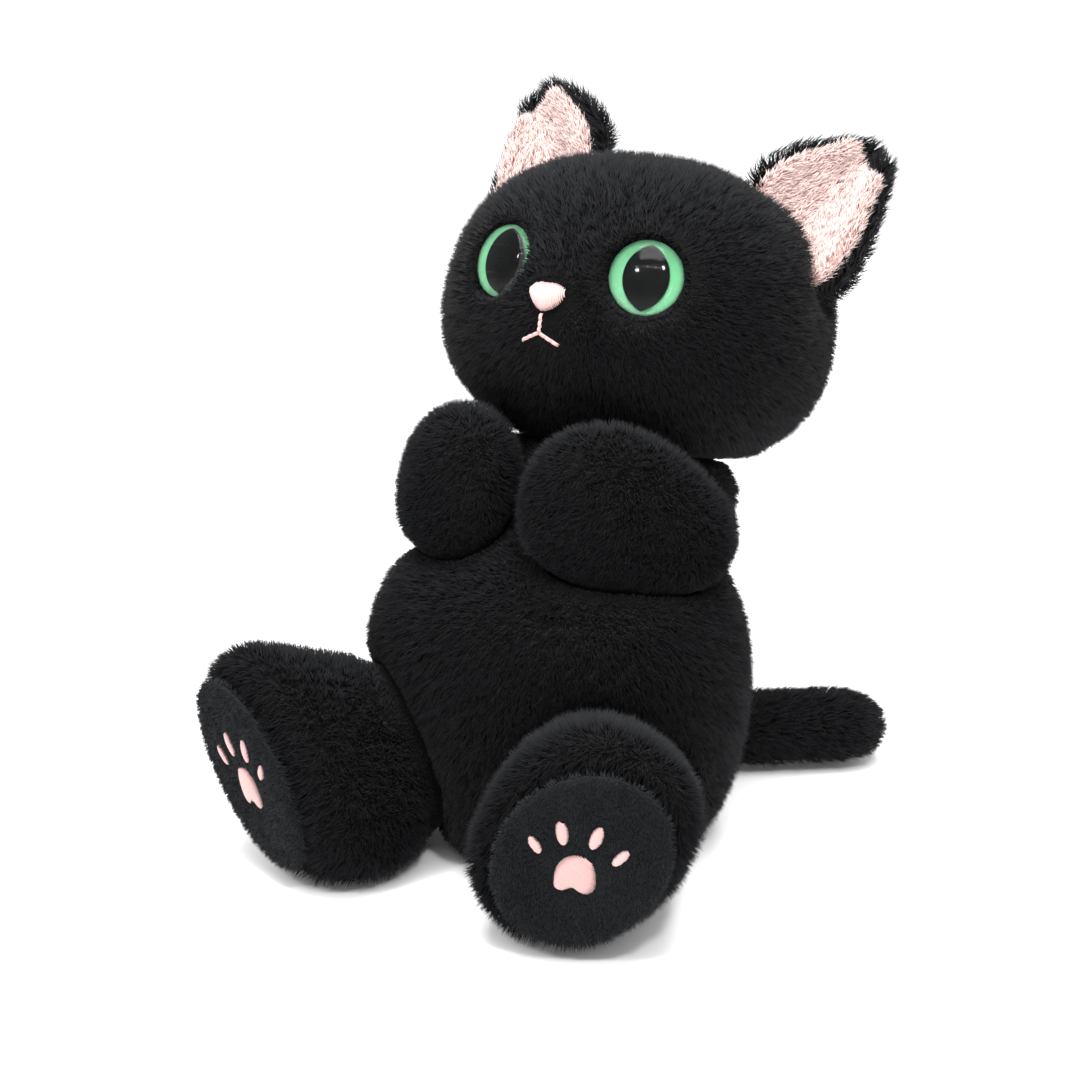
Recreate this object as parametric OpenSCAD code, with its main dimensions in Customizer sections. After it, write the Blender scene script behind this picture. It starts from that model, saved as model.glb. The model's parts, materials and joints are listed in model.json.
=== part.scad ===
// Sitting plush cat: sewn fur skins over stuffed cores, with soft ball joints
// at the neck, shoulders, hips and tail. Millimetres, face towards -Y, +Z up.

/* [Torso] */

// Height of the neck pivot above the seat
neck_h = 117; // [112:1:120]
// Half width of the belly at its widest
belly_w = 65; // [60:1:68]
// Half depth of the belly at its widest
belly_d = 59; // [54:1:61]
// Distance that the neck sits behind the middle of the seat
lean = 38; // [34:1:42]

/* [Head] */

// Height of the head's middle above the seat
head_h = 172; // [170:1:176]
// Half width over the cheeks
head_w = 67; // [63:1:69]
// Half depth from face to back
head_d = 58; // [55:1:60]
// Half height from chin to crown
head_t = 54; // [51:1:56]
// Angle that the face looks up
head_pitch = 18; // [14:1:22]
// Diameter of each safety eye
eye_d = 24.5; // [22:0.5:25]

/* [Ears] */

// Height of an ear from its seam to its tip
ear_h = 48; // [42:1:52]
// Thickness of the fur back and of the pink lining, each
ear_t = 3; // [2.4:0.2:3.6]

/* [Arms] */

// Radius of an arm at the forearm
arm_r = 26; // [22:1:27]
// Distance from the middle of the chest to a paw's middle
paw_x = 20.5; // [20:0.5:24]

/* [Legs] */

// Angle that a leg points outward
leg_splay = 22; // [18:1:26]
// Half height of a foot
foot_t = 39; // [36:1:40]

/* [Tail] */

// Radius of the tail
tail_r = 13; // [11:1:14]

/* [Hidden] */

// Fur cloth with its pile, and the gap between bodies.
skin_t = 4.5;
sole_t = 3;
gap = 0.4;
fit = 0.1;
filling_gap = 1.8;
pole = 0.02;
tip_pole = 0.13;
$fn = 40;

// Pivots of the soft joints.
neck_p = [0, lean, neck_h];
neck_r = 30;
shoulder_p = [37, 20, 107];
shoulder_r = 19;
hip_p = [33, -14, 32.5];
hip_r = 28;
tail_p = [0, 47, 15];
head_c = [0, lean + 14, head_h];
core_r = 14;
neck_space_r = 19;
neck_gap = 0.8;
tail_core_r = 6.5;
arm_core_r = 10;
arm_skin_t = 3.5;

black = [0.10, 0.10, 0.11];
grey_black = [0.16, 0.16, 0.18];
pink = [0.93, 0.78, 0.76];
green = [0.33, 0.60, 0.44];
clear = [0.85, 0.9, 0.9, 0.4];
white = [0.9, 0.9, 0.88];

// ---- helpers ----

function unit(a) = a / norm(a);
function sgn_pow(x, p) = sign(x) * pow(abs(x), p);
function smooth(t) = let (c = min(1, max(0, t))) c * c * (3 - 2 * c);

// Smooth value at place v along a table of rows.
function spline(rows, v) = let (
    last = len(rows) - 1,
    i = min(last - 1, max(0, floor(v))),
    t = v - i,
    a = rows[max(0, i - 1)], b = rows[i], c = rows[i + 1], d = rows[min(last, i + 2)])
    0.5 * (2 * b + (c - a) * t + (2 * a - 5 * b + 4 * c - d) * t * t + (3 * b - a - 3 * c + d) * t * t * t);

// Point on a stuffed tube that starts towards -Y.
// Rows are [x, y, z, side radius, top radius, turn to the left, turn down, roll outward].
function tube_point(rows, square, u, v) = let (
    row = spline(rows, v),
    level = [cos(row[5]), sin(row[5]), 0],
    upright = [sin(row[5]) * sin(row[6]), -cos(row[5]) * sin(row[6]), cos(row[6])],
    side = level * cos(row[7]) - upright * sin(row[7]),
    top = upright * cos(row[7]) + level * sin(row[7]))
    [row[0], row[1], row[2]]
    + side * row[3] * sgn_pow(cos(u), square)
    + top * row[4] * sgn_pow(sin(u), square);

// Outward normal of surface f at (u, v).
function normal_at(f, u, v) = let (
    du = f(u + 0.6, v) - f(u - 0.6, v),
    dv = f(u, v + 0.004) - f(u, v - 0.004))
    unit(cross(du, dv));

// A sewn panel: the part of surface f between u0..u1 and v0..v1, t thick.
module panel(f, u0, u1, v0, v1, nu, nv, t = skin_t) {
    row = nu + 1;
    half = row * (nv + 1);
    outer = [for (j = [0:nv]) for (i = [0:nu]) let (u = u0 + (u1 - u0) * i / nu, v = v0 + (v1 - v0) * j / nv)
        f(u, v)];
    inner = [for (j = [0:nv]) for (i = [0:nu]) let (u = u0 + (u1 - u0) * i / nu, v = v0 + (v1 - v0) * j / nv)
        f(u, v) - t * normal_at(f, u, v)];
    skin = [for (j = [0:nv - 1]) for (i = [0:nu - 1]) let (a = j * row + i)
        each [[a, a + row, a + 1], [a + 1, a + row, a + row + 1]]];
    back = [for (q = skin) [q[0] + half, q[2] + half, q[1] + half]];
    ends = [for (i = [0:nu - 1]) each [
        [i, i + 1, i + half], [i + 1, i + 1 + half, i + half],
        [nv * row + i, nv * row + i + half, nv * row + i + 1],
        [nv * row + i + 1, nv * row + i + half, nv * row + i + 1 + half]]];
    sides = [for (j = [0:nv - 1]) let (a = j * row, b = a + nu) each [
        [a, a + half, a + row], [a + row, a + half, a + row + half],
        [b, b + row, b + half], [b + row, b + row + half, b + half]]];
    polyhedron(concat(outer, inner), concat(skin, back, ends, sides));
}

// A closed stuffed solid: surface f all round, t inside it, with flat ends.
module stuffed(f, v0, v1, nu, nv, t) {
    ring = [for (j = [0:nv]) for (i = [0:nu - 1]) let (u = 360 * i / nu, v = v0 + (v1 - v0) * j / nv)
        f(u, v) - t * normal_at(f, u, v)];
    wall = [for (j = [0:nv - 1]) for (i = [0:nu - 1]) let (a = j * nu + i, b = j * nu + (i + 1) % nu)
        each [[a, a + nu, b], [b, a + nu, b + nu]]];
    caps = [[for (i = [0:nu - 1]) i], [for (i = [nu - 1:-1:0]) nv * nu + i]];
    polyhedron(ring, concat(wall, caps));
}

module on_side(left) {
    mirror([left ? 0 : 1, 0, 0]) children();
}

// A bar with round ends from a to b.
module bar(a, b, r) {
    along = b - a;
    translate(a)
        rotate([0, acos(along[2] / norm(along)), atan2(along[1], along[0])])
            rotate_extrude() {
                square([r, norm(along)]);
                intersection() {
                    circle(r);
                    translate([0, -r]) square([r, r]);
                }
                translate([0, norm(along)]) intersection() {
                    circle(r);
                    square([r, r]);
                }
            }
}

// ---- torso ----

// Rows up the torso: [x, y, z, half width, half depth].
torso_rows = [
    [0, 2, 0, belly_w - 25, belly_d - 21],
    [0, 2, 7, belly_w - 15, belly_d - 13],
    [0, 1, 20, belly_w - 7, belly_d - 6],
    [0, 0, 39, belly_w - 2, belly_d - 2],
    [0, 0, 57, belly_w, belly_d],
    [0, 0, 74, belly_w - 1, belly_d - 1],
    [0, 2, 88, belly_w - 6, belly_d - 7],
    [0, lean - 28, 99, belly_w - 13, belly_d - 14],
    [0, lean - 9, neck_h - 9, belly_w - 27, belly_d - 26],
    for (a = [0:23:69]) [0, lean, neck_h + neck_r * sin(a), neck_r * cos(a), neck_r * cos(a)],
    [0, lean, neck_h + neck_r, 1.5, 1.5]];
torso_top = len(torso_rows) - 1;

torso_at = function(u, v) let (row = spline(torso_rows, v))
    [row[0] + row[3] * sgn_pow(cos(u), 0.94), row[1] + row[4] * sgn_pow(sin(u), 0.94), row[2]];

// Rows of the room a limb sweeps: it widens away from the pivot by the slopes given.
function room_rows(rows, pivot, spare, rise, spread) = [for (r = rows)
    let (c = [r[0], r[1], r[2]], s = norm(c - pivot), p = c + (c - pivot) * spare / max(s, 1))
    [p[0], p[1], p[2] + rise * s, r[3] + spare + spread * s, r[4] + spare + abs(rise) * s, r[5], r[6], r[7]]];

module limb_room(rows, pivot, spare, rise, spread, stop) {
    room = room_rows(rows, pivot, spare, rise, spread);
    stuffed(function(u, v) tube_point(room, 0.9, u, v), pole, stop, 14, 9, 0);
}

module joint_room(spare = 1.8) {
    for (left = [true, false]) on_side(left) {
        limb_room(arm_rows, shoulder_p, spare, -0.08, 0.26, 6.8);
        limb_room(leg_rows, hip_p, spare, 0.1, 0.16, 5);
    }
    limb_room(tail_rows, tail_p, spare, 0.1, 0.22, 4);
}

module torso_panel(u0, u1) {
    color(black) difference() {
        panel(torso_at, u0, u1, 0.02, torso_top - pole, 8, 17);
        joint_room();
    }
}

module torso_front_left() { torso_panel(-90, 0); }
module torso_front_right() { torso_panel(-180, -90); }
module torso_back_left() { torso_panel(0, 90); }
module torso_back_right() { torso_panel(90, 180); }

module seat_panel() {
    color(black) linear_extrude(skin_t - 2) polygon([for (u = [0:10:350])
        let (p = torso_at(u, 0.02) - (skin_t + 1) * normal_at(torso_at, u, 0.02)) [p[0], p[1]]]);
}

module torso_filling() {
    color(white) difference() {
        stuffed(torso_at, 0.6, torso_top - 1.5, 20, 11, skin_t + filling_gap);
        joint_room(2.8);
        translate(neck_p) sphere(neck_space_r);
        pellet_space(fit);
    }
}

// A flat round bag of plastic pellets low in the body.
module pellet_space(t) {
    translate([0, 23, 34]) rotate_extrude()
        polygon([for (a = [-90:15:90]) [(12 + t) * cos(a), (10 + t) * sin(a)]]);
}

module pellet_bag() {
    color(grey_black) pellet_space(0);
}

// ---- neck ----

module neck_filling() {
    color(white) translate(neck_p) sphere(core_r - 2);
}

// The sewn ring that gathers the neck, round its filling.
module neck_seam() {
    color(black) translate(neck_p) rotate_extrude() translate([core_r + 2, 0]) circle(2, $fn = 20);
}

// ---- head ----

muzzle_dir = unit([0, -1, -0.18]);
squareness = 2.25;

// Head surface in its own axes: u turns round the face axis, v is 0 at the face and 1 at the back.
function head_local(u, v) = let (
    a = v * 180,
    dir = [cos(u) * sin(a), -cos(a), -sin(u) * sin(a)],
    size = [head_w, head_d, dir[2] > 0 ? head_t - 1 : head_t],
    r = 1 / pow(pow(abs(dir[0]) / size[0], squareness) + pow(abs(dir[1]) / size[1], squareness)
        + pow(abs(dir[2]) / size[2], squareness), 1 / squareness),
    cheek = 2.5 * exp(-pow((dir[2] + 0.35) / 0.3, 2)) * pow(abs(dir[0]), 2),
    muzzle = 5.5 * exp(-pow(acos(min(1, dir * muzzle_dir)) / 20, 2)))
    dir * (r + cheek + muzzle);

function pitch(p) = [p[0], p[1] * cos(head_pitch) + p[2] * sin(head_pitch),
    p[2] * cos(head_pitch) - p[1] * sin(head_pitch)];
head_at = function(u, v) head_c + pitch(head_local(u, v));

module in_head() {
    translate(head_c) rotate([-head_pitch, 0, 0]) children();
}

// Eye place in the head's own axes, and the way it faces.
eye_x = 26.6;
eye_up = 7.6;
eye_yaw = 17;
eye_tilt = 5;
eye_sink = 3;

module at_eye(left) {
    in_head() on_side(left)
        translate([eye_x, -46.8, eye_up]) rotate([0, 0, eye_yaw]) rotate([90 - eye_tilt, 0, 0]) children();
}

module eye_room() {
    for (left = [true, false]) at_eye(left) {
        translate([0, 0, -eye_sink]) cylinder(h = 30, d = eye_d + 0.4);
        translate([0, 0, -30]) cylinder(h = 30, d = 5.2);
    }
}

module ear_room() {
    for (left = [true, false]) on_side(left) {
        bar(ear_in, ear_out, ear_seam_r + gap);
        panel(function(u, v) ear_at(left, u, v, ear_t + ear_swing, 1.14), 0, 360, 0.02, 0.6, 10, 5,
            2 * (ear_t + ear_swing));
    }
}

module head_panel(u0, u1, v0, v1) {
    color(black) difference() {
        panel(head_at, u0, u1, v0, v1, 16, 9);
        translate(neck_p) sphere(neck_r + neck_gap, $fn = 48);
        eye_room();
        ear_room();
    }
}

module face_left() { head_panel(-90, 90, 0.004, 0.52); }
module face_right() { head_panel(90, 270, 0.004, 0.52); }
module head_back_left() { head_panel(-90, 90, 0.52, 0.996); }
module head_back_right() { head_panel(90, 270, 0.52, 0.996); }

module head_filling() {
    color(white) difference() {
        stuffed(head_at, 0.04, 0.96, 22, 12, skin_t + filling_gap);
        translate(neck_p) sphere(neck_r + neck_gap + 0.5);
        for (left = [true, false]) at_eye(left) {
            translate([0, 0, -16]) cylinder(h = 14, d = 15.6);
            translate([0, 0, -eye_sink - fit]) cylinder(h = 10, d = eye_d + 1);
        }
        ear_room();
    }
}

// ---- safety eyes ----

dome_h = 7.2;
iris_h = 1.2;
pupil_h = 0.8;
shank_d = 5;
shank_l = 11;
base_h = 1.6;

// Clear dome, hollowed for the iris and pupil behind it.
module eye_dome(left) {
    color(clear) at_eye(left) translate([0, 0, -eye_sink + base_h]) rotate_extrude() difference() {
        intersection() {
            scale([1, 2 * (dome_h) / eye_d]) circle(d = eye_d, $fn = 64);
            square([eye_d, dome_h]);
        }
        square([eye_d / 2 - 1.2, iris_h + pupil_h + fit]);
    }
}

module eye_dome_left() { eye_dome(true); }
module eye_dome_right() { eye_dome(false); }

module iris(left) {
    color(green) at_eye(left) translate([0, 0, -eye_sink + base_h])
        rotate_extrude() square([eye_d / 2 - 1.3, iris_h - fit]);
}

module iris_left() { iris(true); }
module iris_right() { iris(false); }

// Upright almond: two arcs that meet at blunt points.
module pupil(left) {
    color(black) at_eye(left) translate([0, 0, -eye_sink + base_h + iris_h])
        linear_extrude(pupil_h - fit) intersection() {
            translate([-3.6, 0]) circle(10.9);
            translate([3.6, 0]) circle(10.9);
        }
}

module pupil_left() { pupil(true); }
module pupil_right() { pupil(false); }

module eye_shank(left) {
    color(black) at_eye(left) {
        translate([0, 0, -eye_sink]) cylinder(h = base_h - fit, d = eye_d);
        translate([0, 0, -eye_sink - shank_l]) cylinder(h = shank_l, d = shank_d);
    }
}

module eye_shank_left() { eye_shank(true); }
module eye_shank_right() { eye_shank(false); }

module eye_washer(left) {
    color(white) at_eye(left) translate([0, 0, -eye_sink - 7.6]) difference() {
        cylinder(h = 1.6, d = 15);
        translate([0, 0, -1]) cylinder(h = 4, d = shank_d + 0.1);
    }
}

module eye_washer_left() { eye_washer(true); }
module eye_washer_right() { eye_washer(false); }

// ---- nose and mouth ----

nose_w = 13.5;
nose_h = 9.5;

// Satin-stitched rounded triangle, thickest in its middle.
module nose_stitching() {
    color(pink) in_head() translate([0, -head_d - 4.6, -3.6]) rotate([90, 0, 0])
        for (s = [0:2]) translate([0, 0, s * 0.7]) linear_extrude(0.7)
            offset(r = 2.6 - s * 0.8) polygon([
                [-nose_w / 2 + 2.8, nose_h / 2 - 2.8], [nose_w / 2 - 2.8, nose_h / 2 - 2.8],
                [1.2, -nose_h / 2 + 2.6], [-1.2, -nose_h / 2 + 2.6]]);
}

module mouth_stitching() {
    color(pink) in_head() {
        bar([0, -head_d - 6.3, -9.2], [0, -head_d - 5.9, -14.6], 0.8, $fn = 16);
        for (s = [-1, 1]) bar([s * 0.5, -head_d - 5.9, -15.2], [s * 6.6, -head_d - 4, -18], 0.8, $fn = 16);
    }
}

// ---- ears ----

ear_in = head_c + [29, 18, 39];
ear_out = head_c + [60, 5, 7];
ear_seam_r = 4;
ear_swing = 4.2;

// Cupped ear sheet: u runs across the ear in 0..360, v up it in 0..1.
// The left ear lies flatter; the right one stands up and is a little wider.
function ear_at(left, u, v, shift, width) = let (
    s = u / 180 - 1,
    mid = (ear_in + ear_out) / 2,
    across = (ear_out - ear_in) / 2 * (left ? 1 : 1.12),
    tall = left ? ear_h : ear_h + 4,
    up = unit(head_c + (left ? [70, 44, 57] : [62, 36, 66]) - mid),
    front = unit(cross(across, up)),
    half = pow(max(0, 1 - pow(v, 1.9)), 0.6) * (1 + 0.18 * sin(180 * min(1, v * 1.3))),
    bow = 9 * (1 - s * s) * (1 - 0.55 * v) * smooth(v * 2.4 + 0.1))
    mid + across * s * half * width + up * tall * v + front * (shift - bow);

module ear_sheet(left, shift, t, width, top) {
    panel(function(u, v) ear_at(left, u, v, shift, width), 0, 360, 0.1, top, 10, 9, t);
}

module ear_back(left) {
    color(black) on_side(left) difference() {
        ear_sheet(left, 0, ear_t, 1, 0.985);
        bar(ear_in, ear_out, ear_seam_r + fit);
    }
}
module ear_back_left() { ear_back(true); }
module ear_back_right() { ear_back(false); }

module ear_lining(left) {
    color(pink) on_side(left) difference() {
        ear_sheet(left, ear_t + 0.7, ear_t - 0.5, 0.76, 0.88);
        bar(ear_in, ear_out, ear_seam_r + fit);
    }
}
module ear_lining_left() { ear_lining(true); }
module ear_lining_right() { ear_lining(false); }

module ear_seam(left) { color(black) on_side(left) bar(ear_in, ear_out, ear_seam_r); }
module ear_seam_left() { ear_seam(true); }
module ear_seam_right() { ear_seam(false); }

// ---- arms ----

// Rows from the shoulder to the paw.
arm_rows = [
    [shoulder_p[0], shoulder_p[1] + shoulder_r - 0.2, shoulder_p[2], 0.5, 0.5, 0, 0, 0],
    [shoulder_p[0], shoulder_p[1] + 14, shoulder_p[2], 12.8, 12.8, 0, 0, 0],
    [shoulder_p[0], shoulder_p[1], shoulder_p[2], shoulder_r, shoulder_r, 0, -10, 0],
    [shoulder_p[0] + 3, shoulder_p[1] - 13, shoulder_p[2] + 3, arm_r - 4, arm_r - 3, -6, -16, 0],
    [paw_x + 15, -6, 117, arm_r - 3.5, arm_r + 2, -18, -20, 0],
    [paw_x + 6, -18, 123, arm_r - 5, arm_r + 3.5, -22, -18, 0],
    [paw_x, -29, 127, arm_r - 7.5, arm_r - 1, -14, -14, 0],
    [paw_x - 3, -38, 129, arm_r - 15, arm_r - 11, -8, -12, 0],
    [paw_x - 3, -41, 129.6, 0.5, 0.5, -8, -12, 0]];
arm_end = len(arm_rows) - 1;
arm_at = function(u, v) tube_point(arm_rows, 0.95, u, v);

module shoulder_filling(left) {
    color(white) on_side(left) translate(shoulder_p) sphere(arm_core_r);
}
module shoulder_filling_left() { shoulder_filling(true); }
module shoulder_filling_right() { shoulder_filling(false); }

module arm_panel(left, u0, u1) {
    color(black) on_side(left) panel(arm_at, u0, u1, tip_pole, arm_end - tip_pole, 8, 16, arm_skin_t);
}
module arm_outer_left() { arm_panel(true, 90, 270); }
module arm_outer_right() { arm_panel(false, 90, 270); }
module arm_inner_left() { arm_panel(true, -90, 90); }
module arm_inner_right() { arm_panel(false, -90, 90); }

module arm_filling(left) {
    color(white) on_side(left) difference() {
        stuffed(arm_at, 1, arm_end - 1.3, 14, 9, arm_skin_t + 0.6);
        translate(shoulder_p) sphere(arm_core_r + 0.3);
    }
}
module arm_filling_left() { arm_filling(true); }
module arm_filling_right() { arm_filling(false); }

// ---- legs ----

foot_c = [62, -87, 38];
foot_tilt = 12;
foot_roll = 30;

// Rows from the hip to the sole.
leg_rows = [
    [hip_p[0], hip_p[1] + hip_r - 0.2, hip_p[2], 0.5, 0.5, 0, 0, 0],
    [hip_p[0], hip_p[1] + hip_r * 0.72, hip_p[2], 19.5, 19.5, 0, 0, 0],
    [hip_p[0], hip_p[1], hip_p[2], hip_r, hip_r, 4, 0, 0],
    [hip_p[0] + 8, hip_p[1] - 23, hip_p[2] + 1.5, 29, 31, leg_splay * 0.6, 0, 4],
    [hip_p[0] + 17, hip_p[1] - 46, hip_p[2] + 5, 31, foot_t - 3, leg_splay * 0.9, 4, 20],
    [foot_c[0] - 5, foot_c[1] + 10, foot_c[2] + 3, 32, foot_t + 2.5, leg_splay, foot_tilt, foot_roll + 2],
    [foot_c[0], foot_c[1], foot_c[2], 27, foot_t - 4, leg_splay, foot_tilt, foot_roll]];
leg_end = len(leg_rows) - 1;
leg_at = function(u, v) tube_point(leg_rows, 0.9, u, v);

module hip_filling(left) {
    color(white) on_side(left) translate(hip_p) sphere(core_r);
}
module hip_filling_left() { hip_filling(true); }
module hip_filling_right() { hip_filling(false); }

module leg_panel(left, u0, u1) {
    color(black) on_side(left) panel(leg_at, u0, u1, tip_pole, leg_end, 8, 13);
}
module leg_upper_left() { leg_panel(true, 0, 180); }
module leg_upper_right() { leg_panel(false, 0, 180); }
module leg_lower_left() { leg_panel(true, 180, 360); }
module leg_lower_right() { leg_panel(false, 180, 360); }

// Frame on the sole: x across the foot, y up it, z out of it.
module at_sole(left) {
    on_side(left) translate(foot_c) rotate([0, 0, leg_splay]) rotate([90 + foot_tilt, 0, 0])
        rotate([0, 0, -foot_roll]) children();
}

module sole(left) {
    color(grey_black) at_sole(left) linear_extrude(sole_t)
        scale([26, foot_t - 5]) circle(1, $fn = 48);
}
module sole_left() { sole(true); }
module sole_right() { sole(false); }

module pad_stitching(left) {
    color(pink) at_sole(left) translate([0, -3, sole_t]) linear_extrude(0.8) {
        offset(r = 2) polygon([[-4, -4.5], [0, -2.5], [4, -4.5], [3.5, 2], [0, 4.5], [-3.5, 2]]);
        for (toe = [[-11, 7, 35], [-4.5, 12.5, 12], [4.5, 12.5, -12], [11, 7, -35]])
            translate([toe[0], toe[1]]) rotate(toe[2]) scale([1.9, 3.2]) circle(1, $fn = 20);
    }
}
module pad_stitching_left() { pad_stitching(true); }
module pad_stitching_right() { pad_stitching(false); }

module leg_filling(left) {
    color(white) on_side(left) difference() {
        stuffed(leg_at, 0.7, leg_end - 0.03, 14, 9, skin_t + filling_gap);
        translate(hip_p) sphere(core_r + 0.3);
    }
}
module leg_filling_left() { leg_filling(true); }
module leg_filling_right() { leg_filling(false); }

// ---- tail ----

// Rows from the root to the tip; the tail points back, so its turns are given from there.
tail_rows = [
    [tail_p[0], tail_p[1] - tail_r + 0.2, tail_p[2], 0.5, 0.5, 180, 0, 0],
    [tail_p[0], tail_p[1] - tail_r * 0.7, tail_p[2], 9, 9, 180, 0, 0],
    [tail_p[0], tail_p[1], tail_p[2], tail_r, tail_r, 172, 0, 0],
    [9, tail_p[1] + 20, tail_r + 1.5, tail_r + 0.5, tail_r + 0.5, 148, 0, 0],
    [26, tail_p[1] + 35, tail_r + 1.5, tail_r + 1, tail_r + 1, 132, 0, 0],
    [46, tail_p[1] + 50, tail_r + 1.5, tail_r + 1, tail_r + 1, 126, 0, 0],
    [61, tail_p[1] + 61, tail_r + 1.5, tail_r, tail_r, 124, 0, 0],
    [68, tail_p[1] + 66, tail_r + 1.5, tail_r * 0.6, tail_r * 0.6, 122, 0, 0],
    [70, tail_p[1] + 67.5, tail_r + 1.5, 0.5, 0.5, 122, 0, 0]];
tail_end = len(tail_rows) - 1;
tail_at = function(u, v) tube_point(tail_rows, 1, u, v);

module tail_root_filling() {
    color(white) translate(tail_p) sphere(tail_core_r);
}
module tail_panel(u0, u1) {
    color(black) panel(tail_at, u0, u1, tip_pole, tail_end - tip_pole, 6, 15, 3);
}
module tail_upper() { tail_panel(0, 180); }
module tail_lower() { tail_panel(180, 360); }
module tail_filling() {
    color(white) difference() {
        stuffed(tail_at, 1, tail_end - 1.3, 10, 9, 3.6);
        translate(tail_p) sphere(tail_core_r + 0.3);
    }
}

torso_front_left();
torso_front_right();
torso_back_left();
torso_back_right();
seat_panel();
torso_filling();
pellet_bag();
neck_filling();
neck_seam();
face_left();
face_right();
head_back_left();
head_back_right();
head_filling();
eye_dome_left();
eye_dome_right();
iris_left();
iris_right();
pupil_left();
pupil_right();
eye_shank_left();
eye_shank_right();
eye_washer_left();
eye_washer_right();
nose_stitching();
mouth_stitching();
ear_back_left();
ear_back_right();
ear_lining_left();
ear_lining_right();
ear_seam_left();
ear_seam_right();
shoulder_filling_left();
shoulder_filling_right();
arm_outer_left();
arm_outer_right();
arm_inner_left();
arm_inner_right();
arm_filling_left();
arm_filling_right();
hip_filling_left();
hip_filling_right();
leg_upper_left();
leg_upper_right();
leg_lower_left();
leg_lower_right();
sole_left();
sole_right();
pad_stitching_left();
pad_stitching_right();
leg_filling_left();
leg_filling_right();
tail_root_filling();
tail_upper();
tail_lower();
tail_filling();
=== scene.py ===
import json
import math

import bpy
import numpy as np
from mathutils import Matrix, Vector
from mathutils.bvhtree import BVHTree


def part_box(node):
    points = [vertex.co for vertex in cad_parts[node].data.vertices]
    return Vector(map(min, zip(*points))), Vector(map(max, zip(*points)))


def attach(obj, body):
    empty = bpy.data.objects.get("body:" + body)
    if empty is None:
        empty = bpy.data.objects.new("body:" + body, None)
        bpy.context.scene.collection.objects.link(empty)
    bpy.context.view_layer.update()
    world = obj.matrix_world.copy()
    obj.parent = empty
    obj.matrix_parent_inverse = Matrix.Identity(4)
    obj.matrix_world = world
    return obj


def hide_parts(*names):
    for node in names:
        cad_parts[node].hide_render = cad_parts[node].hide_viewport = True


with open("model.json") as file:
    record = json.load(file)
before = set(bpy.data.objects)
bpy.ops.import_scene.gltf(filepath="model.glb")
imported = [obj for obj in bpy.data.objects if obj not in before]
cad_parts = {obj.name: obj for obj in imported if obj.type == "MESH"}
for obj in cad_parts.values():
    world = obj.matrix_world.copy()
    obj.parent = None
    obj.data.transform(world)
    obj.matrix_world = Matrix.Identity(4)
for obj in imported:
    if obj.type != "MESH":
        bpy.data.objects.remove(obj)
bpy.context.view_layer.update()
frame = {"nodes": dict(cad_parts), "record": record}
NODES = frame["nodes"]
MM = 0.001

BODY_OF = {n: b for b, ns in frame["record"]["behaviour"]["bodies"].items() for n in ns}
SIDES = {"left": 1, "right": -1}

# Sizes of the cat that place its stitching, eyes and pile, in millimetres, as in the CAD model.
HEAD_C = np.array([0.0, 52.0, 172.0])
HEAD_PITCH = math.radians(18)
HEAD_D = 58
EYE_C = np.array([26.6, -46.8, 7.6])
EYE_R = 12.25
FOOT_C = np.array([62.0, -87.0, 38.0])
LEG_SPLAY, FOOT_TILT, FOOT_ROLL = math.radians(22), math.radians(12), math.radians(30)
SOLE_T = 3
MUZZLE = 4.6  # how far the muzzle stands out past HEAD_D
NOSE_Z = -3.6
MOUTH_TOP, MOUTH_FORK, MOUTH_END = -9.0, -15.2, (6.8, -18.3)

# The photograph's viewpoint, in metres.
CAMERA_AIM = (0, -0.0117, 0.1074)
CAMERA_AZIMUTH, CAMERA_ELEVATION, CAMERA_DISTANCE = math.radians(32), math.radians(17.5), 0.8
LENS, SENSOR = 81.3, 36
EYE_LEVEL = (0, 0, 0.19)


# ---- camera and lights ----

def camera():
    level = math.cos(CAMERA_ELEVATION)
    back = Vector((math.sin(CAMERA_AZIMUTH) * level, -math.cos(CAMERA_AZIMUTH) * level,
                   math.sin(CAMERA_ELEVATION)))
    data = bpy.data.cameras.new("camera")
    data.lens, data.sensor_width = LENS, SENSOR
    data.clip_start = 0.01
    cam = bpy.data.objects.new("camera", data)
    cam.location = Vector(CAMERA_AIM) + back * CAMERA_DISTANCE
    cam.rotation_euler = back.to_track_quat("Z", "Y").to_euler()
    bpy.context.scene.collection.objects.link(cam)
    bpy.context.scene.camera = cam


def area_light(name, place, target, size, power, size_y=None, shape="SQUARE"):
    data = bpy.data.lights.new(name, "AREA")
    data.shape = shape
    data.size = size
    if size_y:
        data.shape, data.size_y = "RECTANGLE", size_y
    data.energy = power
    light = bpy.data.objects.new(name, data)
    light.location = place
    light.rotation_euler = (Vector(place) - Vector(target)).to_track_quat("Z", "Y").to_euler()
    bpy.context.scene.collection.objects.link(light)


# ---- node materials ----

def new_material(name):
    mat = bpy.data.materials.new(name)
    mat.use_nodes = True
    nt = mat.node_tree
    return mat, nt, nt.nodes["Principled BSDF"]


def link(nt, a, b):
    nt.links.new(a, b)


def node(nt, kind, **values):
    n = nt.nodes.new(kind)
    for key, value in values.items():
        if key in n.inputs:
            n.inputs[key].default_value = value
        else:
            setattr(n, key, value)
    return n


def ramp(nt, stops):
    n = nt.nodes.new("ShaderNodeValToRGB")
    while len(n.color_ramp.elements) < len(stops):
        n.color_ramp.elements.new(0.5)
    for e, (place, colour) in zip(n.color_ramp.elements, stops):
        e.position, e.color = place, (*colour, 1)
    return n


def linear(r, g, b):
    """An sRGB colour, 0 to 255, as linear light."""
    return tuple(c / 12.92 if c <= 0.04045 else ((c + 0.055) / 1.055) ** 2.4
                 for c in (r / 255, g / 255, b / 255))


def scaled(colour, k):
    return tuple(c * k for c in colour)


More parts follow.
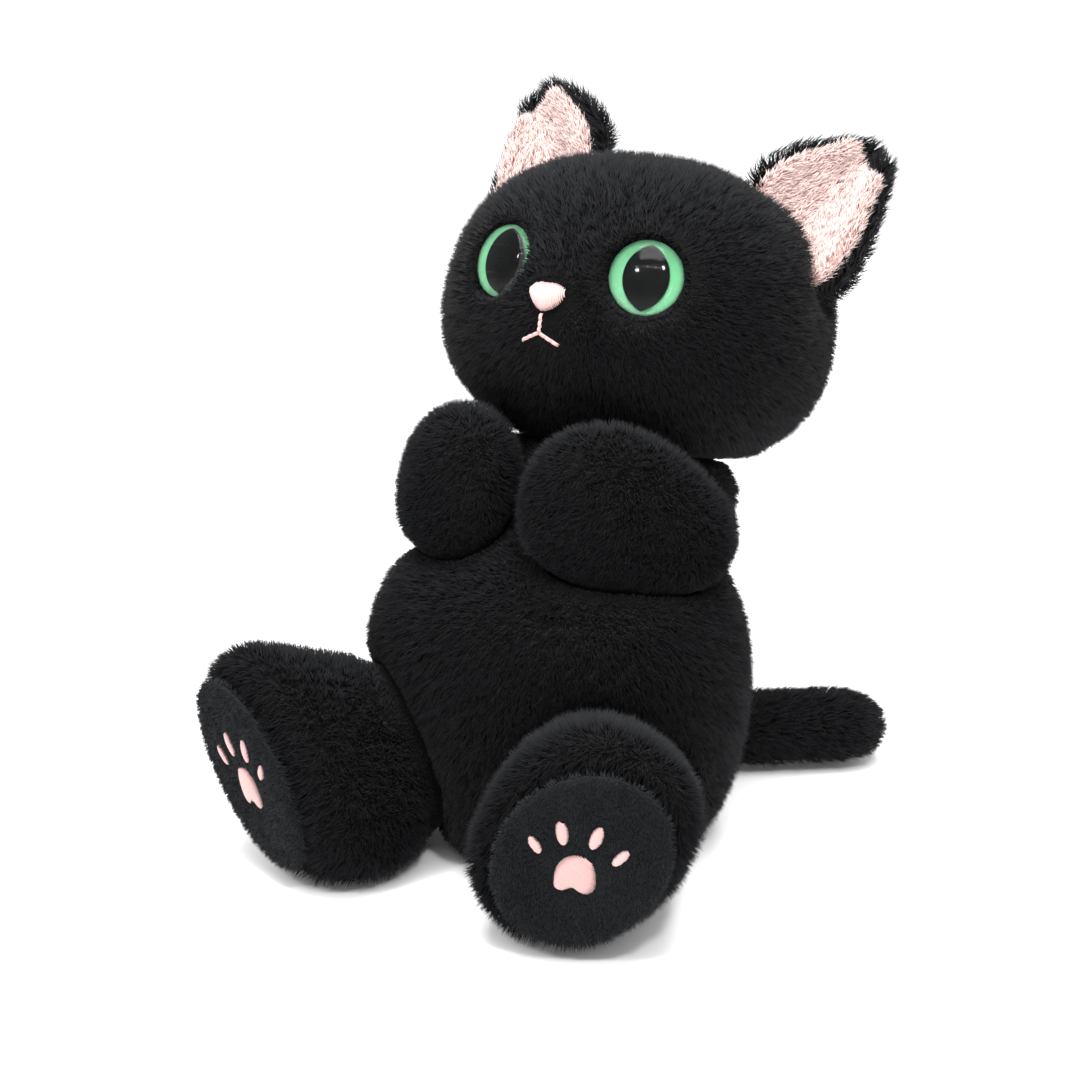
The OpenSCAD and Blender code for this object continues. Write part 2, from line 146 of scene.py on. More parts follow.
def pile_material(name, root, tip, roughness=0.75, sheen=0.0, spread=0.35):
    """Fibre colour along each strand (UV y) and from strand to strand (UV x)."""
    mat, nt, bsdf = new_material(name)
    uv = node(nt, "ShaderNodeUVMap", uv_map="OFBake")
    split = node(nt, "ShaderNodeSeparateXYZ")
    link(nt, uv.outputs["UV"], split.inputs[0])
    along = ramp(nt, [(0.0, root), (0.55, scaled(tip, 0.55)), (1.0, tip)])
    link(nt, split.outputs["Y"], along.inputs[0])
    shade = node(nt, "ShaderNodeTexNoise", Scale=900.0, Detail=0.0)
    vary = node(nt, "ShaderNodeMapRange", **{"From Min": 0.3, "From Max": 0.7,
                                            "To Min": 1 - spread, "To Max": 1 + spread})
    flat = node(nt, "ShaderNodeCombineXYZ")
    link(nt, split.outputs["X"], flat.inputs["X"])
    link(nt, flat.outputs[0], shade.inputs["Vector"])
    link(nt, shade.outputs["Fac"], vary.inputs["Value"])
    mix = node(nt, "ShaderNodeVectorMath", operation="SCALE")
    link(nt, along.outputs["Color"], mix.inputs[0])
    link(nt, vary.outputs["Result"], mix.inputs["Scale"])
    link(nt, mix.outputs[0], bsdf.inputs["Base Color"])
    bsdf.inputs["Roughness"].default_value = roughness
    bsdf.inputs["Specular IOR Level"].default_value = 0.1
    bsdf.inputs["Sheen Weight"].default_value = sheen
    bsdf.inputs["Sheen Roughness"].default_value = 0.5
    return mat


def cloth_material(name, dark, light, scale=900, rough=0.9, bump=0.5, sheen=0.0):
    """Knitted backing between the fibres: fine mottling, with bump to match."""
    mat, nt, bsdf = new_material(name)
    pos = node(nt, "ShaderNodeTexCoord")
    fine = node(nt, "ShaderNodeTexNoise", Scale=float(scale), Detail=4.0, Roughness=0.7)
    wide = node(nt, "ShaderNodeTexNoise", Scale=35.0, Detail=3.0)
    for n in (fine, wide):
        link(nt, pos.outputs["Object"], n.inputs["Vector"])
    add = node(nt, "ShaderNodeMath", operation="MULTIPLY_ADD")
    link(nt, fine.outputs["Fac"], add.inputs[0])
    add.inputs[1].default_value = 0.7
    link(nt, wide.outputs["Fac"], add.inputs[2])
    colour = ramp(nt, [(0.6, dark), (1.1, light)])
    link(nt, add.outputs[0], colour.inputs[0])
    link(nt, colour.outputs["Color"], bsdf.inputs["Base Color"])
    b = node(nt, "ShaderNodeBump", Strength=bump, Distance=0.0006)
    link(nt, fine.outputs["Fac"], b.inputs["Height"])
    link(nt, b.outputs["Normal"], bsdf.inputs["Normal"])
    bsdf.inputs["Roughness"].default_value = rough
    bsdf.inputs["Specular IOR Level"].default_value = 0.1
    bsdf.inputs["Sheen Weight"].default_value = sheen
    return mat


def thread_material(name, dark, light):
    """Rayon embroidery thread: twisted plies along the stitch (UV), with painted shade darkening the
    grooves between them.
    """
    mat, nt, bsdf = new_material(name)
    uv = node(nt, "ShaderNodeUVMap", uv_map="OFBake")
    wave = node(nt, "ShaderNodeTexWave", Scale=6.0, Distortion=0.6, Detail=1.0)
    wave.bands_direction = "DIAGONAL"
    link(nt, uv.outputs["UV"], wave.inputs["Vector"])
    # Dark where the wave, and so the bump, is low: painted shade in the grooves.
    colour = ramp(nt, [(0.0, dark), (0.5, light), (1.0, scaled(light, 1.05))])
    link(nt, wave.outputs["Fac"], colour.inputs[0])
    link(nt, colour.outputs["Color"], bsdf.inputs["Base Color"])
    b = node(nt, "ShaderNodeBump", Strength=0.4, Distance=0.0001)
    link(nt, wave.outputs["Fac"], b.inputs["Height"])
    link(nt, b.outputs["Normal"], bsdf.inputs["Normal"])
    bsdf.inputs["Roughness"].default_value = 0.45
    bsdf.inputs["Sheen Weight"].default_value = 0.3
    return mat


def iris_material(name):
    """Painted back of the eye: green, darker to its rim, with faint radial streaks."""
    mat, nt, bsdf = new_material(name)
    uv = node(nt, "ShaderNodeUVMap", uv_map="OFBake")
    split = node(nt, "ShaderNodeSeparateXYZ")
    link(nt, uv.outputs["UV"], split.inputs[0])
    out = ramp(nt, [(0.0, linear(60, 130, 85)), (0.62, linear(96, 178, 124)),
                    (0.86, linear(84, 160, 110)), (1.0, linear(38, 84, 58))])
    link(nt, split.outputs["Y"], out.inputs[0])
    streak = node(nt, "ShaderNodeTexNoise", Scale=1.0, Detail=2.0)
    stretch = node(nt, "ShaderNodeMapping")
    stretch.inputs["Scale"].default_value = (70, 3, 1)
    link(nt, uv.outputs["UV"], stretch.inputs["Vector"])
    link(nt, stretch.outputs[0], streak.inputs["Vector"])
    vary = node(nt, "ShaderNodeMapRange", **{"From Min": 0.3, "From Max": 0.7,
                                            "To Min": 0.88, "To Max": 1.1})
    link(nt, streak.outputs["Fac"], vary.inputs["Value"])
    mix = node(nt, "ShaderNodeVectorMath", operation="SCALE")
    link(nt, out.outputs["Color"], mix.inputs[0])
    link(nt, vary.outputs["Result"], mix.inputs["Scale"])
    link(nt, mix.outputs[0], bsdf.inputs["Base Color"])
    bsdf.inputs["Roughness"].default_value = 0.35
    return mat


def plastic_material(name, dark, light, rough=0.4, scale=300, gloss=0.5):
    mat, nt, bsdf = new_material(name)
    bsdf.inputs["Specular IOR Level"].default_value = gloss
    pos = node(nt, "ShaderNodeTexCoord")
    grain = node(nt, "ShaderNodeTexNoise", Scale=float(scale), Detail=2.0)
    link(nt, pos.outputs["Object"], grain.inputs["Vector"])
    colour = ramp(nt, [(0.35, dark), (0.65, light)])
    link(nt, grain.outputs["Fac"], colour.inputs[0])
    link(nt, colour.outputs["Color"], bsdf.inputs["Base Color"])
    rough_map = node(nt, "ShaderNodeMapRange", **{"To Min": rough - 0.08, "To Max": rough + 0.08})
    link(nt, grain.outputs["Fac"], rough_map.inputs["Value"])
    link(nt, rough_map.outputs["Result"], bsdf.inputs["Roughness"])
    return mat


def clear_material(name):
    mat, nt, bsdf = new_material(name)
    bsdf.inputs["Base Color"].default_value = (1, 1, 1, 1)
    bsdf.inputs["Roughness"].default_value = 0.085
    bsdf.inputs["IOR"].default_value = 1.2
    bsdf.inputs["Transmission Weight"].default_value = 1.0
    pos = node(nt, "ShaderNodeTexCoord")
    haze = node(nt, "ShaderNodeTexNoise", Scale=60.0, Detail=2.0)
    link(nt, pos.outputs["Object"], haze.inputs["Vector"])
    b = node(nt, "ShaderNodeBump", Strength=0.02, Distance=0.0002)
    link(nt, haze.outputs["Fac"], b.inputs["Height"])
    link(nt, b.outputs["Normal"], bsdf.inputs["Normal"])
    return mat


# Black fibres, darker at the root; the tips' lighter blue-grey is painted sheen.
BLACK_TIP_PAINTED_SHEEN = linear(25, 26, 29)
BLACK_ROOT = linear(7, 7, 8)
FUR = pile_material("black_fur_fibre", BLACK_ROOT, BLACK_TIP_PAINTED_SHEEN, sheen=0.03)
FUR_SOLE = pile_material("sole_fur_fibre", linear(17, 18, 20), linear(37, 39, 43), sheen=0.04)
FUR_PINK = pile_material("ear_pink_fibre", linear(240, 190, 184), linear(250, 222, 216),
                         roughness=0.8, sheen=0.1, spread=0.12)
BACKING = cloth_material("black_backing", linear(5, 5, 6), linear(13, 13, 14))
BACKING_SOLE = cloth_material("sole_backing", linear(13, 14, 15), linear(24, 25, 27))
BACKING_PINK = cloth_material("pink_backing", linear(226, 172, 164), linear(242, 202, 194))
# The darker pink is painted shade in the thread's grooves.
THREAD = thread_material("pink_thread_twist", linear(170, 122, 119), linear(212, 172, 168))
IRIS = iris_material("green_iris_paint")
PUPIL = plastic_material("dark_pupil_paint", linear(5, 6, 6), linear(9, 10, 10), rough=0.5, gloss=0.02)
POST = plastic_material("eye_post_plastic", linear(14, 14, 15), linear(22, 22, 23))
WASHER = plastic_material("washer_plastic_natural", linear(205, 203, 196), linear(232, 230, 224))
STUFFING = cloth_material("stuffing_fibre", linear(214, 212, 206), linear(244, 243, 240), scale=400)
CLEAR = clear_material("clear_dome_plastic")


# ---- meshes ----

def raw(obj):
    me = obj.data
    co = np.empty(len(me.vertices) * 3)
    me.vertices.foreach_get("co", co)
    return co.reshape(-1, 3)


def new_object(name, verts, faces, material, smooth=True):
    me = bpy.data.meshes.new(name)
    me.from_pydata([tuple(v) for v in verts], [], [tuple(f) for f in faces])
    me.update()
    me.shade_smooth() if smooth else me.shade_flat()
    me.materials.append(material)
    obj = bpy.data.objects.new(name, me)
    bpy.context.scene.collection.objects.link(obj)
    return obj


def joined(name, names, material):
    verts, faces = [], []
    for n in names:
        first = len(verts)
        verts += [tuple(v.co) for v in NODES[n].data.vertices]
        faces += [[first + i for i in p.vertices] for p in NODES[n].data.polygons]
    return new_object(name, verts, faces, material)


def apply_modifiers(obj):
    graph = bpy.context.evaluated_depsgraph_get()
    done = bpy.data.meshes.new_from_object(obj.evaluated_get(graph))
    mats = list(obj.data.materials)
    obj.modifiers.clear()
    old, obj.data = obj.data, done
    bpy.data.meshes.remove(old)
    done.name = obj.name
    if not len(done.materials):
        for m in mats:
            done.materials.append(m)
    done.shade_smooth()


def modify(obj, kind, **values):
    mod = obj.modifiers.new(kind.lower(), kind)
    for key, value in values.items():
        setattr(mod, key, value)


def vertex_normals(obj):
    me = obj.data
    n = np.empty(len(me.vertices) * 3)
    me.vertices.foreach_get("normal", n)
    return n.reshape(-1, 3)


def set_points(obj, co):
    obj.data.vertices.foreach_set("co", np.ascontiguousarray(co).ravel())
    obj.data.update()


def puff(obj, cap):
    """Inflate as stuffed cloth, then let no point move more than cap."""
    start = raw(obj)
    cloth = obj.modifiers.new("stuffed", "CLOTH")
    s = cloth.settings
    s.quality = 4
    s.use_pressure = True
    s.uniform_pressure_force = 4
    s.effector_weights.gravity = 0
    cloth.collision_settings.use_collision = False
    scene = bpy.context.scene
    for f in range(1, 21):
        scene.frame_set(f)
    graph = bpy.context.evaluated_depsgraph_get()
    ev = obj.evaluated_get(graph)
    end = np.empty(len(obj.data.vertices) * 3)
    ev.data.vertices.foreach_get("co", end)
    obj.modifiers.clear()
    move = end.reshape(-1, 3) - start
    far = np.linalg.norm(move, axis=1, keepdims=True)
    move *= np.minimum(1, cap / np.maximum(far, 1e-9))
    set_points(obj, start + move)
    scene.frame_set(1)


def skin(name, sources, material, body, voxel, shrink, smooth=6, cap=0.0012, shape=None,
         stands_for=None):
    """One closed skin a little inside the panels and filling in sources: the pile stands on it."""
    obj = joined(name, sources, material)
    modify(obj, "REMESH", mode="VOXEL", voxel_size=voxel)
    apply_modifiers(obj)
    modify(obj, "SMOOTH", iterations=smooth, factor=0.5)
    apply_modifiers(obj)
    co = raw(obj) - vertex_normals(obj) * shrink
    if shape:
        co = shape(co)
    set_points(obj, co)
    if cap:
        puff(obj, cap)
    modify(obj, "SMOOTH", iterations=2, factor=0.5)
    modify(obj, "SUBSURF", levels=1, render_levels=1)
    apply_modifiers(obj)
    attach(obj, body)
    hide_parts(*(stands_for or sources))
    return obj


def unit(v):
    return v / np.maximum(np.linalg.norm(v, axis=-1, keepdims=True), 1e-12)


def tangent(v, n):
    """The part of v that lies in the surface whose normal is n."""
    v = np.broadcast_to(v, n.shape)
    return v - n * np.sum(v * n, axis=1, keepdims=True)


def tree(objs):
    verts, faces = [], []
    for o in objs:
        first = len(verts)
        verts += [tuple(v.co) for v in o.data.vertices]
        faces += [[first + i for i in p.vertices] for p in o.data.polygons]
    return BVHTree.FromPolygons(verts, faces)


def clear_of(points, bvh, reach=0.012):
    far = np.full(len(points), reach)
    for i, p in enumerate(points):
        hit = bvh.find_nearest(p, reach)
        if hit[0] is not None:
            far[i] = hit[3]
    return far


def sample(obj, per_mm2, rng):
    me = obj.data
    me.calc_loop_triangles()
    tri = np.empty(len(me.loop_triangles) * 3, np.int32)
    me.loop_triangles.foreach_get("vertices", tri)
    tri = tri.reshape(-1, 3)
    co, vn = raw(obj), vertex_normals(obj)
    a, b, c = (co[tri[:, i]] for i in range(3))
    area = np.linalg.norm(np.cross(b - a, c - a), axis=1) / 2
    count = int(area.sum() * 1e6 * per_mm2)
    pick = rng.choice(len(tri), count, p=area / area.sum())
    r1, r2 = np.sqrt(rng.random(count)), rng.random(count)
    w = np.stack([1 - r1, r1 * (1 - r2), r1 * r2], 1)[:, :, None]
    place = np.stack([a[pick], b[pick], c[pick]], 1)
    turn = np.stack([vn[tri[pick, i]] for i in range(3)], 1)
    return (place * w).sum(1), unit((turn * w).sum(1))


ROOT_DEPTH, SHORTEST = 0.0004, 0.0007  # of a fibre, in metres


def strands(name, root, normal, lean, length, width, material, body, rng, bent=False):
    """Tapered three-sided fibres, each a closed little solid."""
    n = len(root)
    tip_dir = unit(lean)
    side = unit(np.cross(tip_dir, rng.normal(size=(n, 3))))
    other = np.cross(tip_dir, side)
    r0 = width[:, None] / 2
    base = root - normal * ROOT_DEPTH
    corners = [side, -0.5 * side + 0.866 * other, -0.5 * side - 0.866 * other]
    rings = [base + c * r0 for c in corners]
    tip = root + tip_dir * length[:, None]
    if bent:
        mid = root + unit(normal * 0.75 + tip_dir) * length[:, None] * 0.5
        rings += [mid + c * r0 * 0.7 for c in corners]
    rows = rings + [tip]
    k = len(rows)
    co = np.stack(rows, 1).reshape(-1, 3)
    if bent:
        faces = [(2, 1, 0), (0, 1, 4, 3), (1, 2, 5, 4), (2, 0, 3, 5), (3, 4, 6), (4, 5, 6), (5, 3, 6)]
        height = np.array([0, 0, 0, 0.5, 0.5, 0.5, 1])
    else:
        faces = [(2, 1, 0), (0, 1, 3), (1, 2, 3), (2, 0, 3)]
        height = np.array([0, 0, 0, 1])
    flat = np.concatenate([np.array(f) for f in faces])
    sizes = np.array([len(f) for f in faces])
    loops = (flat[None] + (np.arange(n) * k)[:, None]).ravel().astype(np.int32)
    sizes = np.tile(sizes, n)
    starts = np.concatenate([[0], np.cumsum(sizes)[:-1]]).astype(np.int32)
    me = bpy.data.meshes.new(name)
    me.vertices.add(len(co))
    me.vertices.foreach_set("co", co.ravel().astype(np.float32))
    me.loops.add(len(loops))
    me.loops.foreach_set("vertex_index", loops)
    me.polygons.add(len(sizes))
    me.polygons.foreach_set("loop_start", starts)
    me.update(calc_edges=True)
    me.polygons.foreach_set("use_smooth", np.ones(len(sizes), bool))
    uv = me.uv_layers.new(name="OFBake")
    across = np.repeat(rng.random(n) * 0.98 + 0.01, len(flat))
    along = np.tile(height[flat] * 0.98 + 0.01, n)
    uv.data.foreach_set("uv", np.stack([across, along], 1).ravel().astype(np.float32))
    me.materials.append(material)
    obj = bpy.data.objects.new(name, me)
    bpy.context.scene.collection.objects.link(obj)
    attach(obj, body)


# A fixed hash of a fibre's cell, so that neighbours lean the same way in clumps.
CLUMP_MIX = np.array([[12.9898, 39.3468, 73.156], [78.233, 11.135, 9.412], [37.719, 83.155, 27.921]])
CLUMP_SCALE = 43758.5453


def fur(name, base, comb, per_mm2, length, width, material, body, seed, near=None, room=0.5,
        rule=None, lift=1.0, messy=0.35, clump=0.0028, gather=0.35, bent=False, parts=1):
    """Pile over the skin base. comb gives the way it is brushed; rule may drop or shorten fibres."""
    rng = np.random.default_rng(seed)
    root, normal = sample(base, per_mm2, rng)
    size = np.ones(len(root))
    keep = np.ones(len(root), bool)
    brushed = tangent(comb(root, normal), normal)
    if rule:
        size, keep, brushed = rule(root, normal, size, brushed)
        root, normal, size, brushed = root[keep], normal[keep], size[keep], brushed[keep]
    full = length * size * rng.uniform(0.72, 1.12, len(root))
    if near is not None:
        gap = clear_of(root, near)
        full = np.minimum(full, gap * room)
        keep = full > SHORTEST
        root, normal, brushed, full = root[keep], normal[keep], brushed[keep], full[keep]
    mixed = np.sin(np.floor(root / clump) @ CLUMP_MIX) * CLUMP_SCALE
    wander = mixed - np.floor(mixed) - 0.5
    lean = normal * lift + brushed + rng.normal(size=root.shape) * messy * 0.5
    lean += tangent(wander, normal) * gather * 2
    thick = width * rng.uniform(0.7, 1.2, len(root))
    step = math.ceil(len(root) / parts)
    order = np.argsort(root @ np.array([1.0, 0.0, 0.0])) if parts > 1 else np.arange(len(root))
    for i in range(parts):
        s = order[i * step:(i + 1) * step]
        strands(name if parts == 1 else f"{name}_{i + 1}", root[s], normal[s], lean[s], full[s],
                thick[s], material, body, rng, bent)


# ---- skins ----

def sides(*names):
    return [f"{n}_{s}" for n in names for s in SIDES]


def spline(a, b, c, d, t):
    """The point at t between b and c on a smooth curve through four points."""
    return 0.5 * (2 * b + (c - a) * t + (2 * a - 5 * b + 4 * c - d) * t * t
                  + (3 * b - a - 3 * c + d) * t ** 3)


def heel(sign):
    """The stuffing sinks into the heel, so it spreads low down on the inner side."""
    centre = np.array([sign * 54, -76, 37]) * MM
    out = np.array([sign * -0.72, 0.0, -0.69])

    def shape(co):
        away = co - centre
        far = np.linalg.norm(away, axis=1)
        toward = np.clip(away @ out / np.maximum(far, 1e-9), 0, 1) ** 2
        front = np.clip(1 - np.abs(co[:, 1] + 0.066) / 0.04, 0, 1)
        co = co + out * (toward * front * 0.009)[:, None]
        co[:, 2] = np.maximum(co[:, 2], 0.0012)
        return co
    return shape


VOXEL, SHRINK = 0.003, 0.0027
# The ears' seams are in the head's skin only to fill the slots they are sewn into.
head = skin("head_skin", sides("face", "head_back", "ear_seam") + ["head_filling"], BACKING,
            "head", VOXEL, SHRINK, stands_for=sides("face", "head_back") + ["head_filling"])
tail = skin("tail_skin", ["tail_upper", "tail_lower", "tail_filling"], BACKING,
            "tail", VOXEL, SHRINK)
arms, legs, soles, ears, linings = {}, {}, {}, {}, {}
for s, sign in SIDES.items():
    arms[s] = skin(f"arm_skin_{s}", [f"arm_outer_{s}", f"arm_inner_{s}", f"arm_filling_{s}"], BACKING,
                   f"arm_{s}", VOXEL, SHRINK)
    legs[s] = skin(f"leg_skin_{s}", [f"leg_upper_{s}", f"leg_lower_{s}", f"leg_filling_{s}"], BACKING,
                   f"leg_{s}", VOXEL, SHRINK, shape=heel(sign))
    soles[s] = skin(f"sole_skin_{s}", [f"sole_{s}"], BACKING_SOLE,
                    f"leg_{s}", 0.0014, 0.0004, smooth=3, cap=0.0008)
    ears[s] = skin(f"ear_skin_{s}", [f"ear_back_{s}"], BACKING,
                   BODY_OF[f"ear_back_{s}"], 0.0011, 0.0002, smooth=4, cap=0)
    linings[s] = skin(f"ear_lining_skin_{s}", [f"ear_lining_{s}"], BACKING_PINK,
                      BODY_OF[f"ear_lining_{s}"], 0.0011, 0.0001, smooth=4, cap=0)


# Rows up the torso: middle y, height, half width, half depth, in millimetres.
TORSO_ROWS = [(2, 0, 40, 38), (2, 7, 50, 46), (1, 20, 58, 53), (0, 39, 63, 57), (0, 57, 65, 59),
              (0, 74, 64, 58), (1, 88, 59, 54), (7, 100, 54, 49),
              (19, 110, 50, 47), (28, 118, 47, 42), (33, 127, 41, 37)]
TORSO_ROWS += [(38, 117 + 30 * math.sin(a), 30 * math.cos(a), 30 * math.cos(a))
               for a in np.radians((30, 50, 69, 86))]


def torso_form(name):
    """The whole belly and neck, before the limbs press into it."""
    rows = np.array(TORSO_ROWS, float)
    steps = np.arange(0, len(rows) - 1 + 1e-6, 0.25)
    rings = []
    for v in steps:
        i = min(int(v), len(rows) - 2)
        t = v - i
        near = (rows[min(max(i + k, 0), len(rows) - 1)] for k in (-1, 0, 1, 2))
        rings.append(spline(*near, t))
    around = np.radians(np.arange(0, 360, 6))
    n = len(around)
    verts = [((w - 2.2) * math.copysign(abs(math.cos(u)) ** 0.94, math.cos(u)) * MM,
              (y + (d - 2.2) * math.copysign(abs(math.sin(u)) ** 0.94, math.sin(u))) * MM,
              max(z, 0) * MM + (0.002 if z < 1 else 0) - (0.0022 if z > 140 else 0))
             for y, z, w, d in rings for u in around]
    faces = [(j * n + i, j * n + (i + 1) % n, (j + 1) * n + (i + 1) % n, (j + 1) * n + i)
             for j in range(len(rings) - 1) for i in range(n)]
    faces += [tuple(range(n))[::-1], tuple((len(rings) - 1) * n + i for i in range(n))]
    return new_object(name, verts, faces, BACKING)


def pressed_torso(limbs):
    """The torso's skin, hollowed where each limb lies against it."""
    obj = torso_form("torso_skin")
    modify(obj, "REMESH", mode="VOXEL", voxel_size=VOXEL)
    apply_modifiers(obj)
    cutters = []
    for limb in limbs:
        grown = bpy.data.objects.new("press", limb.data.copy())
        bpy.context.scene.collection.objects.link(grown)
        set_points(grown, raw(limb) + vertex_normals(limb) * PRESS)
        modify(obj, "BOOLEAN", operation="DIFFERENCE", solver="EXACT", object=grown)
        cutters.append(grown)
    apply_modifiers(obj)
    for c in cutters:
        bpy.data.objects.remove(c)
    modify(obj, "REMESH", mode="VOXEL", voxel_size=VOXEL * 0.8)
    apply_modifiers(obj)
    modify(obj, "SMOOTH", iterations=5, factor=0.5)
    apply_modifiers(obj)
    puff(obj, TORSO_PUFF)
    modify(obj, "SMOOTH", iterations=2, factor=0.5)
    apply_modifiers(obj)
    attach(obj, "torso")
    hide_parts(*sides("torso_front", "torso_back"), "seat_panel", "torso_filling", "pellet_bag")
    return obj


PRESS, TORSO_PUFF = 0.0016, 0.0006  # gap left round each limb; most that the cloth may swell
torso = pressed_torso([*arms.values(), *legs.values(), tail, head])


# ---- frames on the head and the soles ----

def rot(axis, angle):
    return np.array(Matrix.Rotation(angle, 3, axis))


HEAD_TURN = rot("X", -HEAD_PITCH)


def head_point(p):
    return (HEAD_C + np.asarray(p, float) @ HEAD_TURN.T) * MM


def to_head(co):
    return (co / MM - HEAD_C) @ HEAD_TURN


def mirror(sign, p):
    p = np.array(p, float)
    p[..., 0] *= sign
    return p


def sole_turn():
    return rot("Z", LEG_SPLAY) @ rot("X", math.pi / 2 + FOOT_TILT) @ rot("Z", -FOOT_ROLL)


def sole_point(sign, p):
    return mirror(sign, FOOT_C + np.asarray(p, float) @ sole_turn().T) * MM


def to_sole(sign, co):
    return (mirror(sign, co / MM) - FOOT_C) @ sole_turn()


# ---- stitching ----

def thread(path, radius, ring=6):
    """A round thread along path, closed at its ends. Returns its points, faces and UVs per corner."""
    path = np.asarray(path, float)
    n = len(path)
    run = unit(np.gradient(path, axis=0))
    ref = np.array([0.3, 0.2, 0.93])
    a = unit(np.cross(run, ref))
    b = np.cross(run, a)
    taper = np.full(n, radius)
    taper[[0, -1]] *= 0.6
    verts, faces, uvs = [], [], []
    for i in range(n):
        for k in range(ring):
            t = 2 * math.pi * k / ring
            verts.append(path[i] + (a[i] * math.cos(t) + b[i] * math.sin(t)) * taper[i])
    for i in range(n - 1):
        for k in range(ring):
            k2 = (k + 1) % ring
            faces.append([i * ring + k, i * ring + k2, (i + 1) * ring + k2, (i + 1) * ring + k])
            uvs += [((k + dk) / ring, (i + di) / (n - 1)) for dk, di in ((0, 0), (1, 0), (1, 1), (0, 1))]
    for first, turn in ((0, -1), ((n - 1) * ring, 1)):
        faces.append([first + k for k in range(ring)][::turn])
        uvs += [(k / ring, 0.5) for k in range(ring)]
    return verts, faces, uvs


def threads(name, paths, radius, body, stands_for, place):
    verts, faces, uvs = [], [], []
    for path in paths:
        v, f, u = thread(path, radius)
        faces += [[len(verts) + i for i in face] for face in f]
        verts += v
        uvs += u
    obj = new_object(name, place(np.array(verts)), faces, THREAD)
    layer = obj.data.uv_layers.new(name="OFBake")
    layer.data.foreach_set("uv", np.array(uvs, float).ravel())
    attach(obj, body)
    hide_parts(*stands_for)
    return obj


def spans(outline, x):
    """Where the upright line at x crosses a closed outline, in pairs."""
    cuts = []
    for (x0, y0), (x1, y1) in zip(outline, outline[1:] + outline[:1]):
        if (x0 <= x) != (x1 <= x):
            cuts.append(y0 + (y1 - y0) * (x - x0) / (x1 - x0))
    cuts.sort()
    return list(zip(cuts[::2], cuts[1::2]))


def satin(outline, angle, pitch, swell, rng, surface):
    """Satin stitches laid side by side over an outline, at an angle, swelling in the middle."""
    c, s = math.cos(angle), math.sin(angle)
    turned = [(x * c + y * s, -x * s + y * c) for x, y in outline]
    xs = [p[0] for p in turned]
    wide = max(xs) - min(xs)
    paths = []
    x = min(xs) + pitch * 0.5
    while x < max(xs):
        for low, high in spans(turned, x):
            if high - low > 0.5:
                low, high = low - rng.uniform(0, 0.25), high + rng.uniform(0, 0.25)
                off = (x - (max(xs) + min(xs)) / 2) / (wide / 2 + 0.4)
                edge = math.sqrt(max(0.05, 1 - off ** 2))
                pts = []
                for t in np.linspace(0, 1, 7):
                    y = low + (high - low) * t
                    px, py = x * c - y * s, x * s + y * c
                    bow = math.sqrt(max(0, math.sin(math.pi * min(0.999, max(0.001, t)))))
                    rise = swell * edge * bow
                    pts.append(surface(px, py, rise - 0.25))
                paths.append(pts)
        x += pitch * rng.uniform(0.9, 1.1)
    return paths


def smooth_loop(corners, per=6):
    """A rounded outline through the corners."""
    p = np.array(corners, float)
    out = []
    for i in range(len(p)):
        near = p[i - 1], p[i], p[(i + 1) % len(p)], p[(i + 2) % len(p)]
        for t in np.arange(per) / per:
            q = spline(*near, t)
            out.append((q[0], q[1]))
    return out


NOSE = [(-6.5, 2.4), (-4.4, 4.2), (0, 4.6), (4.4, 4.2), (6.5, 2.4), (5.8, -0.6), (3.2, -3.2), (0, -4.3),
        (-2.4, -3.6), (-5.4, -0.6)]
MAIN_PAD = [(-5.9, -6.0), (-6.3, -2.4), (-5.4, 2.4), (-2.6, 5.6), (1.2, 6.4), (4.6, 4.2), (6.0, -0.6),
            (5.8, -5.0), (3.4, -7.2), (-0.4, -5.4), (-3.4, -7.0)]
TOES = [(-13.0, 8.2, 32, 1.4, 3.2), (-5.2, 14.0, 10, 1.8, 4.2), (5.2, 14.0, -14, 1.8, 4.2),
        (13.0, 8.2, -34, 1.5, 3.6)]
PAD_DROP = -3
PRINT_TURN = math.radians(24)
rng = np.random.default_rng(5)


def on_muzzle(x, y, rise):
    """Nose surface in the head's own axes: x across, y up, rise out of the face."""
    sink = (x * x) / 44 + (y + 1.5) ** 2 / 70
    return [x, -HEAD_D - MUZZLE - rise + sink, NOSE_Z + y]


nose_paths = satin(smooth_loop(NOSE), math.radians(8), 0.52, 1.7, rng, on_muzzle)
smaller = smooth_loop([(x * 0.86, y * 0.86) for x, y in NOSE])
under = satin(smaller, math.radians(84), 0.5, 1.2, rng, on_muzzle)
threads("nose_threads", nose_paths + under, 0.3, "head", ["nose_stitching"], head_point)

mouth_paths = []
fork = (0, MOUTH_FORK)
for a, b in (((0, MOUTH_TOP), fork), (fork, (-MOUTH_END[0], MOUTH_END[1])), (fork, MOUTH_END)):
    a, b = np.array(a), np.array(b)
    across = unit(np.array([-(b - a)[1], (b - a)[0]]))
    for shift in (-0.36, 0, 0.36):
        for first, last in ((0, 0.4), (0.32, 0.72), (0.64, 1)):
            pts = []
            for t in np.linspace(first, last, 5):
                q = a + (b - a) * t + across * shift
                deep = HEAD_D + MUZZLE - max(0, -q[1] + MOUTH_TOP) * 0.10 - q[0] ** 2 / 36
                hump = 0.75 * math.sin(math.pi * (t - first) / (last - first))
                pts.append([q[0], -deep - 0.6 - hump + abs(shift) * 0.6, q[1]])
            mouth_paths.append(pts)
threads("mouth_threads", mouth_paths, 0.24, "head", ["mouth_stitching"], head_point)


def on_sole(x, y, rise):
    c, d = math.cos(PRINT_TURN), math.sin(PRINT_TURN)
    return [x * c - y * d, x * d + y * c + PAD_DROP, SOLE_T + 0.9 + rise]


